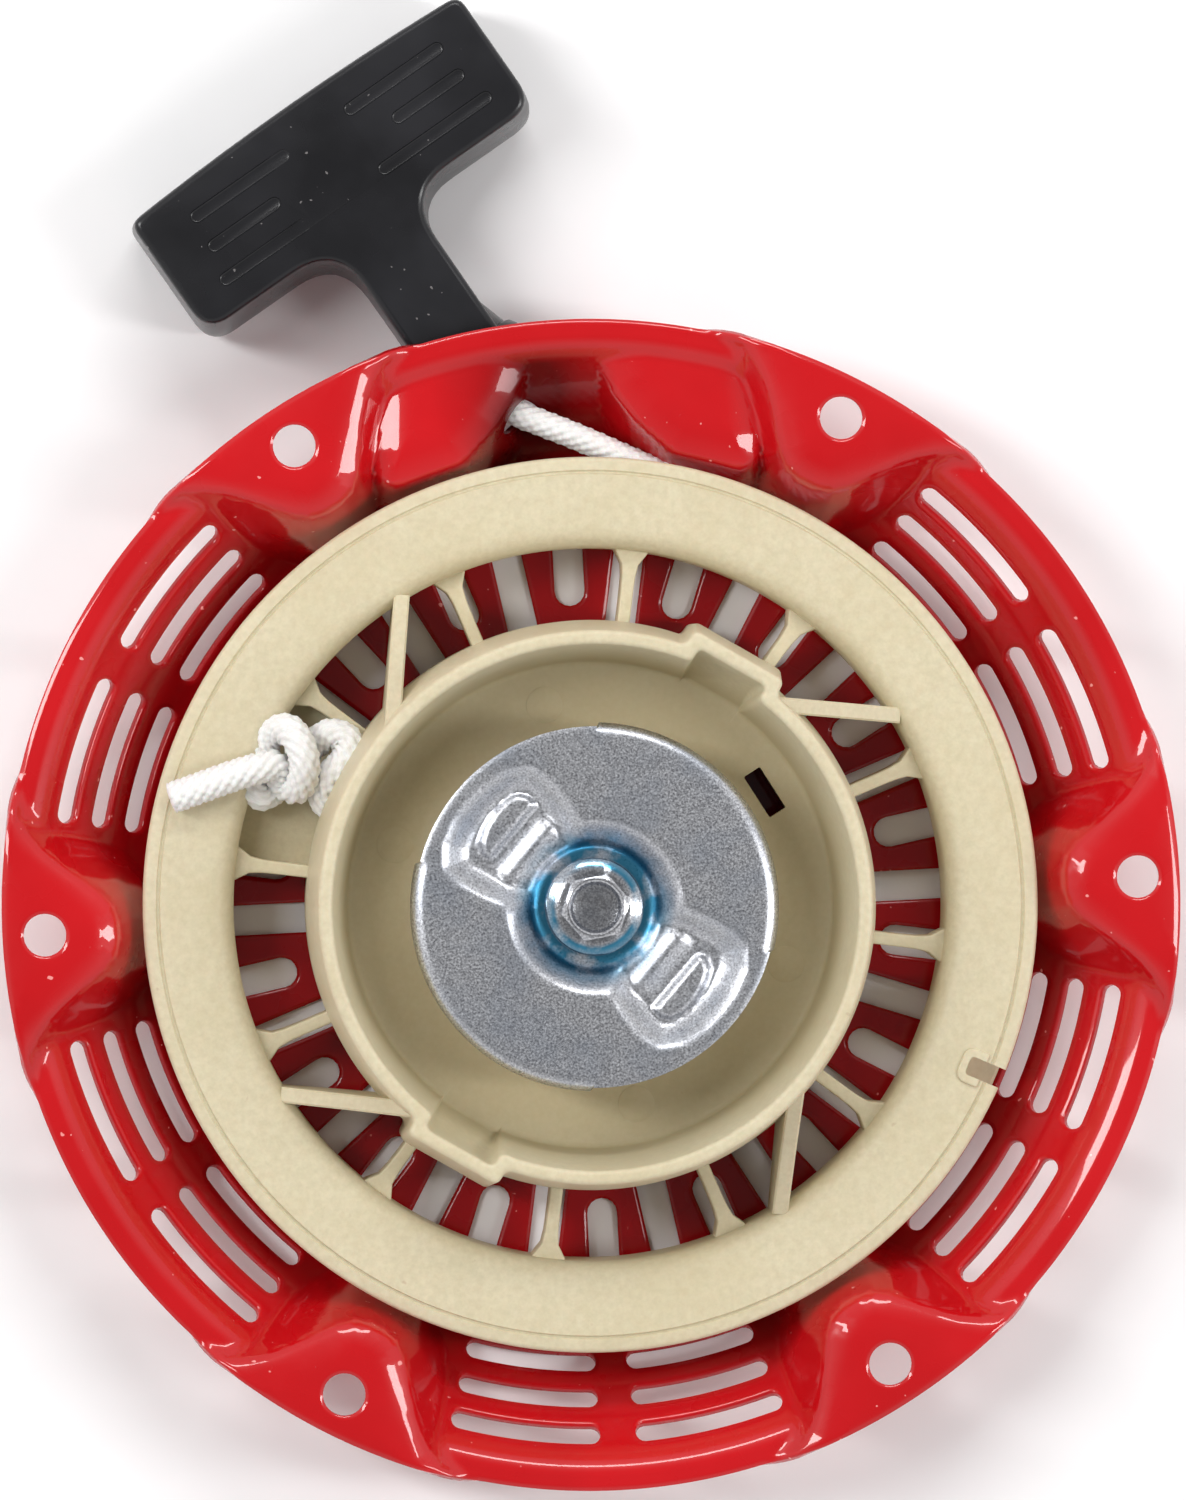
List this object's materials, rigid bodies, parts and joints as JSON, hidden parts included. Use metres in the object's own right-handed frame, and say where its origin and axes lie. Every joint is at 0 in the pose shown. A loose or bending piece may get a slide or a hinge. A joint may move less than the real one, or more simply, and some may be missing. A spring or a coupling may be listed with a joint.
{
  "type": "recoil starter",
  "caption": "Pull-rope starter for a small engine: pressed steel dish case, moulded rope reel with ratchets and guide plate, and a T-shaped pull handle.",
  "frame": {"origin": "middle of the case's flat back face, on the reel's axis", "axes": "+Z along the reel's axis from the back face towards the engine, +Y through the middle of the rope outlet sector, +X through a mounting ear"},
  "size_m": [0.194, 0.2474, 0.037],
  "materials": {
    "case_paint": "gloss red stove enamel",
    "turned_steel": "plain turned and hardened steel",
    "zinc_plate": "bright bluish zinc plating",
    "spring_steel": "oiled spring steel",
    "reel_nylon": "fine-textured natural nylon moulding",
    "rope_nylon": "laid white starter rope",
    "handle_plastic": "satin black moulding"
  },
  "bodies": {
    "housing": {"starter_case": "case_paint", "centre_post": "turned_steel", "centre_bolt": "zinc_plate", "rope_run": "rope_nylon"},
    "spool": {"reel": "reel_nylon", "rope_coil": "rope_nylon", "reel_knot": "rope_nylon", "recoil_spring": "spring_steel"},
    "guide": {"ratchet_guide": "zinc_plate", "friction_spring": "spring_steel"},
    "pawl_1": {"ratchet_1": "turned_steel", "ratchet_spring_1": "spring_steel"},
    "pawl_2": {"ratchet_2": "turned_steel", "ratchet_spring_2": "spring_steel"},
    "grip": {"handle": "handle_plastic", "grip_washer": "zinc_plate", "handle_knot": "rope_nylon"}
  },
  "joints": [
    {"name": "reel_spin", "type": "hinge", "parent": "housing", "child": "spool", "pos_m": [0, 0, 0], "axis": [0, 0, 1], "range_deg": [0, 1020], "stiffness_Nm_per_rad": 0.045, "springref_deg": -687.55, "deforming": ["recoil_spring"]},
    {"name": "handle_pull", "type": "slide", "parent": "housing", "child": "grip", "axis": [-0.5299, 0.848, 0], "range_m": [0, 1.25], "deforming": ["rope_run"]},
    {"name": "guide_lag", "type": "hinge", "parent": "spool", "child": "guide", "pos_m": [0, 0, 0], "axis": [0, 0, 1], "range_deg": [-28, 0], "stiffness_Nm_per_rad": 0.02, "springref_deg": 8.59},
    {"name": "pawl_1_swing", "type": "hinge", "parent": "spool", "child": "pawl_1", "pos_m": [0, 0.021, 0], "axis": [0, 0, 1], "range_deg": [-40.5, 0.5]},
    {"name": "pawl_2_swing", "type": "hinge", "parent": "spool", "child": "pawl_2", "pos_m": [0, -0.021, 0], "axis": [0, 0, 1], "range_deg": [-40.5, 0.5]}
  ],
  "couplings": [
    {"joint": "handle_pull", "follows": "reel_spin", "m_per_rad": 0.07},
    {"joint": "pawl_1_swing", "follows": "guide_lag", "ratio": 1.4286},
    {"joint": "pawl_2_swing", "follows": "guide_lag", "ratio": 1.4286}
  ]
}
